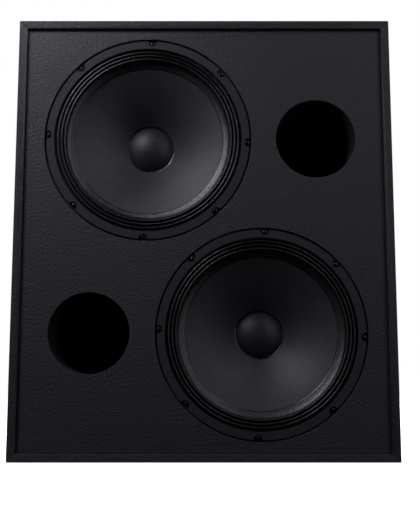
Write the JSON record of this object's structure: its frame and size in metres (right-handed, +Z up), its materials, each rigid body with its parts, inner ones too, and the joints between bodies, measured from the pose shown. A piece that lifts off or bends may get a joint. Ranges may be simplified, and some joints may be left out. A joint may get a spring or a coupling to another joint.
{
  "type": "bass reflex loudspeaker cabinet",
  "caption": "Upright bass-reflex loudspeaker cabinet: large cone drivers and round ports on opposite diagonals of a recessed baffle.",
  "frame": {"origin": "middle of the cabinet's underside", "axes": "+Z up, the baffle faces -Y, +X to the right as seen from the front"},
  "size_m": [0.84, 0.6, 0.984],
  "materials": {
    "bare_plywood": "sawn, unpainted",
    "black_screws": "black zinc",
    "cable_jacket": "flexible jacket",
    "cast_aluminium": "cast, black paint",
    "coil_wire": "enamelled copper",
    "cone_paper": "pressed fibre, black",
    "connector_nylon": "moulded glass-filled nylon",
    "damping_felt": "matted fibre",
    "dust_cap_paper": "pressed fibre, black, lightly coated",
    "ferrite": "ground ferrite",
    "former_film": "glass-fibre former",
    "gasket_rubber": "smooth satin",
    "grip_steel": "black powder coat, worn by hands",
    "painted_plywood": "fine textured black paint on birch plywood",
    "painted_steel": "black powder coat",
    "plated_steel": "zinc plated",
    "port_tube_board": "black, smooth inside",
    "spider_cloth": "resin-stiffened cotton",
    "surround_cloth": "doped pleated cloth, slightly glossy",
    "terminal_plastic": "moulded",
    "tinsel_braid": "tinned copper braid"
  },
  "bodies": {
    "cabinet": {"back_panel": "painted_plywood", "baffle_front_board": "painted_plywood", "baffle_rear_board": "painted_plywood", "bottom_panel": "painted_plywood", "connector_plate": "painted_steel", "connector_screws": "black_screws", "front_battens": "bare_plywood", "input_connector": "connector_nylon", "left_handle_dish": "painted_steel", "left_handle_grip": "grip_steel", "left_handle_screws": "black_screws", "left_side_panel": "painted_plywood", "link_connector": "connector_nylon", "lower_chassis": "cast_aluminium", "lower_driver_bolts": "black_screws", "lower_driver_cable": "cable_jacket", "lower_gasket": "gasket_rubber", "lower_magnet": "ferrite", "lower_pole_yoke": "plated_steel", "lower_port_tube": "port_tube_board", "lower_spider": "spider_cloth", "lower_surround": "surround_cloth", "lower_tee_nuts": "plated_steel", "lower_terminal_block": "terminal_plastic", "lower_tinsel_leads": "tinsel_braid", "lower_top_plate": "plated_steel", "plate_screws": "black_screws", "rear_battens": "bare_plywood", "rear_wadding": "damping_felt", "right_handle_dish": "painted_steel", "right_handle_grip": "grip_steel", "right_handle_screws": "black_screws", "right_side_panel": "painted_plywood", "side_wadding": "damping_felt", "top_panel": "painted_plywood", "upper_chassis": "cast_aluminium", "upper_driver_bolts": "black_screws", "upper_driver_cable": "cable_jacket", "upper_gasket": "gasket_rubber", "upper_magnet": "ferrite", "upper_pole_yoke": "plated_steel", "upper_port_tube": "port_tube_board", "upper_spider": "spider_cloth", "upper_surround": "surround_cloth", "upper_tee_nuts": "plated_steel", "upper_terminal_block": "terminal_plastic", "upper_tinsel_leads": "tinsel_braid", "upper_top_plate": "plated_steel", "window_brace": "bare_plywood"},
    "upper_cone_assembly": {"upper_cone": "cone_paper", "upper_dust_cap": "dust_cap_paper", "upper_coil_former": "former_film", "upper_coil_winding": "coil_wire"},
    "lower_cone_assembly": {"lower_cone": "cone_paper", "lower_dust_cap": "dust_cap_paper", "lower_coil_former": "former_film", "lower_coil_winding": "coil_wire"}
  },
  "joints": [
    {"name": "upper_cone_travel", "type": "slide", "parent": "cabinet", "child": "upper_cone_assembly", "axis": [0, -1, 0], "range_m": [-0.008, 0.008], "stiffness_N_per_m": 8000, "deforming": ["upper_surround", "upper_spider", "upper_tinsel_leads"]},
    {"name": "lower_cone_travel", "type": "slide", "parent": "cabinet", "child": "lower_cone_assembly", "axis": [0, -1, 0], "range_m": [-0.008, 0.008], "stiffness_N_per_m": 8000, "deforming": ["lower_surround", "lower_spider", "lower_tinsel_leads"]}
  ]
}
